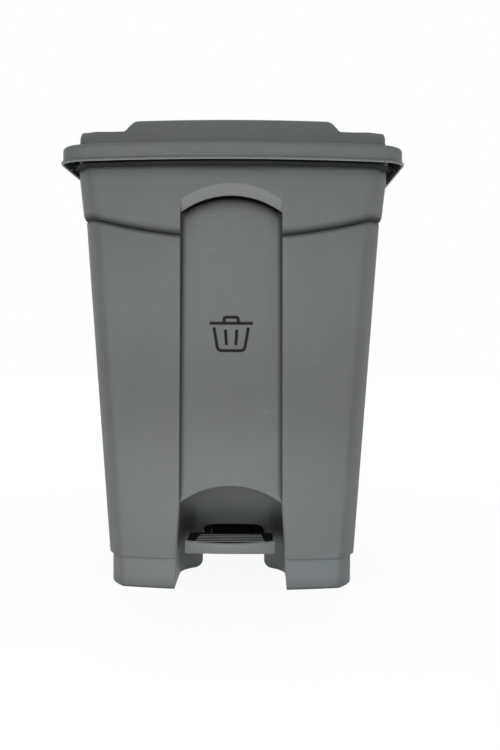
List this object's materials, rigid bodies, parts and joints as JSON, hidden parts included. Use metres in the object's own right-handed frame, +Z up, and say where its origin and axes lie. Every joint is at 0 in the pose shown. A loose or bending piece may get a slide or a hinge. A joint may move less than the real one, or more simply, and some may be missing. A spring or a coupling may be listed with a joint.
{
  "type": "step-on waste bin",
  "caption": "Freestanding pedal bin: tapered tub with recessed arched front, stepped hinged lid lifted by a foot pedal through a rod up the back.",
  "frame": {"origin": "on the floor under the middle of the bin's bounding box", "axes": "+Z up, -Y towards the user and the pedal, +X to the right of someone facing the back of the bin from the front"},
  "size_m": [0.49, 0.41, 0.675],
  "materials": {
    "grey_plastic": "satin moulded polypropylene with fine grain",
    "dark_plastic": "satin moulded nylon",
    "steel": "bright zinc plate",
    "rubber": "matt"
  },
  "bodies": {
    "bin": {"tub": "grey_plastic", "base_plinth": "grey_plastic", "pedal_axle": "steel", "axle_clip_left": "steel", "axle_clip_right": "steel", "axle_bracket_left": "dark_plastic", "axle_bracket_right": "dark_plastic", "axle_bracket_screws": "steel", "rod_guide_upper": "dark_plastic", "rod_guide_lower": "dark_plastic", "rod_guide_screws": "steel", "hinge_block_left": "grey_plastic", "hinge_block_right": "grey_plastic", "hinge_block_screws": "steel", "hinge_pin_left": "steel", "hinge_pin_right": "steel", "plinth_screws": "steel", "pedal_stop": "rubber"},
    "lid": {"lid": "grey_plastic", "lid_lever_bracket": "dark_plastic", "lid_lever_screws": "steel", "lid_hinge_left": "grey_plastic", "lid_hinge_right": "grey_plastic", "lid_hinge_screws": "steel", "lid_buffers": "rubber"},
    "pedal": {"pedal": "grey_plastic"},
    "rod": {"lift_rod": "steel", "rod_cap_upper": "dark_plastic", "rod_cap_lower": "dark_plastic"}
  },
  "joints": [
    {"name": "lid_hinge", "type": "hinge", "parent": "bin", "child": "lid", "pos_m": [0, 0.198, 0.611], "axis": [-1, 0, 0], "range_deg": [0, 75]},
    {"name": "pedal_pivot", "type": "hinge", "parent": "bin", "child": "pedal", "pos_m": [0, 0.03742, 0.052], "axis": [1, 0, 0], "range_deg": [0, 13.96]},
    {"name": "rod_pivot", "type": "hinge", "parent": "pedal", "child": "rod", "pos_m": [0, 0.15589, 0.03286], "axis": [1, 0, 0], "range_deg": [-13.96, 0]}
  ],
  "couplings": [
    {"joint": "pedal_pivot", "follows": "lid_hinge", "ratio": 0.18609},
    {"joint": "rod_pivot", "follows": "lid_hinge", "ratio": -0.18609}
  ]
}
